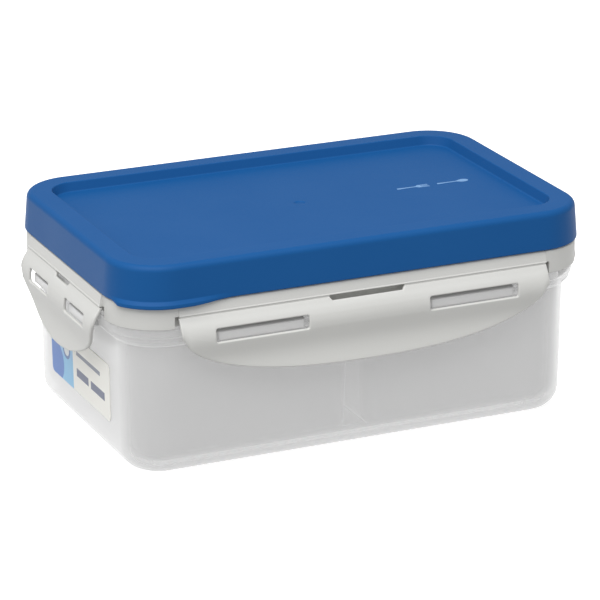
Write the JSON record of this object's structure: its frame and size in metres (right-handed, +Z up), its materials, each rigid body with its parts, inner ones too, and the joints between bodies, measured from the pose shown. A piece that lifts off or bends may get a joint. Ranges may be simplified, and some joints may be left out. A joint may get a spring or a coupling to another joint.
{
  "type": "lunch box",
  "caption": "Rectangular food container with lift-out trays, sealed lid with locking side flaps on film hinges, and a clip-over top cover.",
  "frame": {"origin": "centre of the base, on the surface that the box stands on", "axes": "+X along the box's length, -Y the long side that faces the user, +Z up through the cover"},
  "size_m": [0.2086, 0.1332, 0.087],
  "materials": {
    "clear_pp": "translucent natural polypropylene, satin",
    "tray_pp": "translucent natural polypropylene, satin",
    "grey_pp": "fine satin light grey polypropylene",
    "blue_pp": "satin royal blue polypropylene",
    "silicone": "soft milky silicone",
    "label_film": null
  },
  "bodies": {
    "container": {"container": "clear_pp", "label": "label_film"},
    "left_tray": {"left_tray": "tray_pp"},
    "right_tray": {"right_tray": "tray_pp"},
    "lid": {"lid": "grey_pp", "seal_ring": "silicone", "front_hinge_a": "grey_pp", "front_hinge_b": "grey_pp", "right_hinge_a": "grey_pp", "right_hinge_b": "grey_pp", "back_hinge_a": "grey_pp", "back_hinge_b": "grey_pp", "left_hinge_a": "grey_pp", "left_hinge_b": "grey_pp"},
    "front_flap": {"front_flap": "grey_pp"},
    "right_flap": {"right_flap": "grey_pp"},
    "back_flap": {"back_flap": "grey_pp"},
    "left_flap": {"left_flap": "grey_pp"},
    "cover": {"cover": "blue_pp"}
  },
  "joints": [
    {"name": "lid_lift", "type": "slide", "parent": "container", "child": "lid", "axis": [0, 0, 1], "range_m": [0, 0.13]},
    {"name": "cover_lift", "type": "slide", "parent": "lid", "child": "cover", "axis": [0, 0, 1], "range_m": [0, 0.03]},
    {"name": "front_flap_hinge", "type": "hinge", "parent": "lid", "child": "front_flap", "pos_m": [0, -0.0631, 0.0659], "axis": [-1, 0, 0], "range_deg": [0, 120]},
    {"name": "right_flap_hinge", "type": "hinge", "parent": "lid", "child": "right_flap", "pos_m": [0.1008, 0, 0.0659], "axis": [0, -1, 0], "range_deg": [0, 135]},
    {"name": "back_flap_hinge", "type": "hinge", "parent": "lid", "child": "back_flap", "pos_m": [0, 0.0631, 0.0659], "axis": [1, 0, 0], "range_deg": [0, 135]},
    {"name": "left_flap_hinge", "type": "hinge", "parent": "lid", "child": "left_flap", "pos_m": [-0.1008, 0, 0.0659], "axis": [0, 1, 0], "range_deg": [0, 135]},
    {"name": "left_tray_lift", "type": "slide", "parent": "container", "child": "left_tray", "axis": [0, 0, 1], "range_m": [0, 0.065]},
    {"name": "right_tray_lift", "type": "slide", "parent": "container", "child": "right_tray", "axis": [0, 0, 1], "range_m": [0, 0.065]}
  ],
  "couplings": [
    {"joint": "left_tray_lift", "follows": "lid_lift", "ratio": 0.5},
    {"joint": "right_tray_lift", "follows": "lid_lift", "ratio": 0.5}
  ]
}
